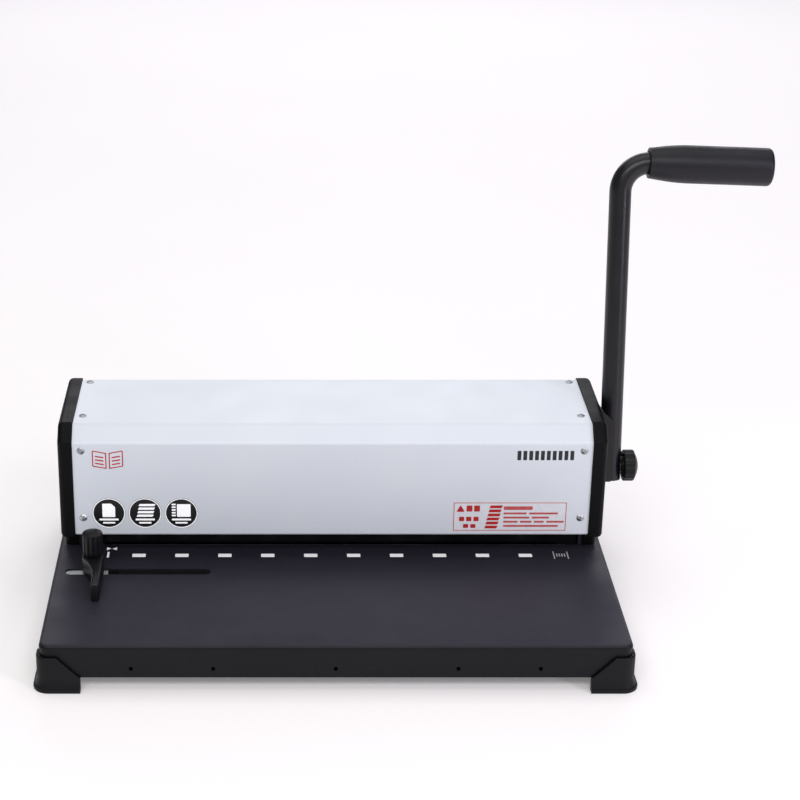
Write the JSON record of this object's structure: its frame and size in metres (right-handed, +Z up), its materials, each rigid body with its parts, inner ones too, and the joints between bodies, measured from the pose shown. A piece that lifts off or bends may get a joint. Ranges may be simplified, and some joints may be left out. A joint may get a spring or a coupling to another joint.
{
  "type": "comb binding machine",
  "caption": "Desktop punch for comb binding: black steel work table with sliding side guide, folded silver-white cover and a long side lever that drives a row of punches.",
  "frame": {"origin": "centre of the footprint of the four feet, on the surface the machine stands on", "axes": "+X towards the lever side, +Y from the operator to the rear, +Z up"},
  "size_m": [0.4956, 0.2592, 0.3069],
  "materials": {
    "table_coat": "fine black powder coat, satin",
    "white_coat": "silver-white powder coat, satin",
    "lever_coat": "black powder coat, semi-gloss",
    "cover_plastic": "black moulded plastic, fine texture",
    "foot_plastic": "black moulded plastic",
    "guide_plastic": "black moulded plastic",
    "knob_plastic": "black phenolic, satin",
    "grip_plastic": "black moulded plastic, satin",
    "drawer_plastic": "black moulded plastic",
    "steel_plate": "cold rolled, lightly brushed",
    "tool_steel": "ground tool steel",
    "ground_steel": "ground and oiled",
    "spring_steel": "drawn wire",
    "black_oxide": "blackened steel",
    "zinc_screw": "bright zinc plate",
    "zinc_plate": "zinc-plated sheet",
    "black_screw": "blackened screw",
    "bronze": "sintered bronze",
    "badge_film": "printed film",
    "label_film": "silver-white film with red print"
  },
  "bodies": {
    "root": {"base_tray": "table_coat", "front_left_foot": "foot_plastic", "front_right_foot": "foot_plastic", "rear_left_foot": "foot_plastic", "rear_right_foot": "foot_plastic", "foot_screws": "zinc_screw", "left_frame_plate": "table_coat", "right_frame_plate": "table_coat", "frame_screws": "zinc_screw", "left_side_cover": "cover_plastic", "right_side_cover": "cover_plastic", "side_cover_screws": "black_screw", "top_cover": "white_coat", "cover_screws": "zinc_screw", "rear_panel": "table_coat", "rear_panel_screws": "zinc_screw", "die_plate": "tool_steel", "paper_gap_shim": "black_oxide", "punch_guide_plate": "black_oxide", "die_bolts": "black_oxide", "guide_posts": "ground_steel", "return_springs": "spring_steel", "left_bush": "bronze", "right_bush": "bronze", "drawer_rails": "table_coat", "front_badges": "badge_film", "info_label": "label_film"},
    "lever": {"main_shaft": "ground_steel", "left_pinion": "tool_steel", "right_pinion": "tool_steel", "pinion_pins": "ground_steel", "retaining_rings": "spring_steel", "handle_socket": "lever_coat", "handle_tube": "lever_coat", "handle_grip": "grip_plastic"},
    "press": {"press_beam": "black_oxide", "left_rack": "tool_steel", "right_rack": "tool_steel", "rack_screws": "black_oxide", "punch_pins": "tool_steel", "pin_keeper": "steel_plate", "keeper_screws": "zinc_screw"},
    "side_guide": {"guide_block": "guide_plastic", "guide_stud": "zinc_screw", "slide_plate": "zinc_plate"},
    "guide_knob_body": {"guide_knob": "knob_plastic"},
    "lock_knob_body": {"lock_knob": "knob_plastic", "lock_stud": "black_screw"},
    "drawer": {"chip_drawer": "drawer_plastic"}
  },
  "joints": [
    {"name": "lever_pull", "type": "hinge", "parent": "root", "child": "lever", "pos_m": [0, 0.038, 0.085], "axis": [1, 0, 0], "range_deg": [0, 80]},
    {"name": "press_stroke", "type": "slide", "parent": "root", "child": "press", "axis": [0, 0, -1], "range_m": [0, 0.0112], "stiffness_N_per_m": 1200, "springref_m": -0.004, "deforming": ["return_springs"]},
    {"name": "side_guide_slide", "type": "slide", "parent": "root", "child": "side_guide", "axis": [1, 0, 0], "range_m": [0, 0.075]},
    {"name": "guide_knob_turn", "type": "hinge", "parent": "side_guide", "child": "guide_knob_body", "pos_m": [-0.1638, -0.0227, 0.053], "axis": [0, 0, 1], "continuous": true},
    {"name": "lock_knob_turn", "type": "hinge", "parent": "lever", "child": "lock_knob_body", "pos_m": [0.2, 0.038, 0.085], "axis": [1, 0, 0], "continuous": true},
    {"name": "drawer_slide", "type": "slide", "parent": "root", "child": "drawer", "axis": [0, 1, 0], "range_m": [0, 0.1]}
  ],
  "couplings": [
    {"joint": "press_stroke", "follows": "lever_pull", "m_per_rad": 0.008}
  ]
}
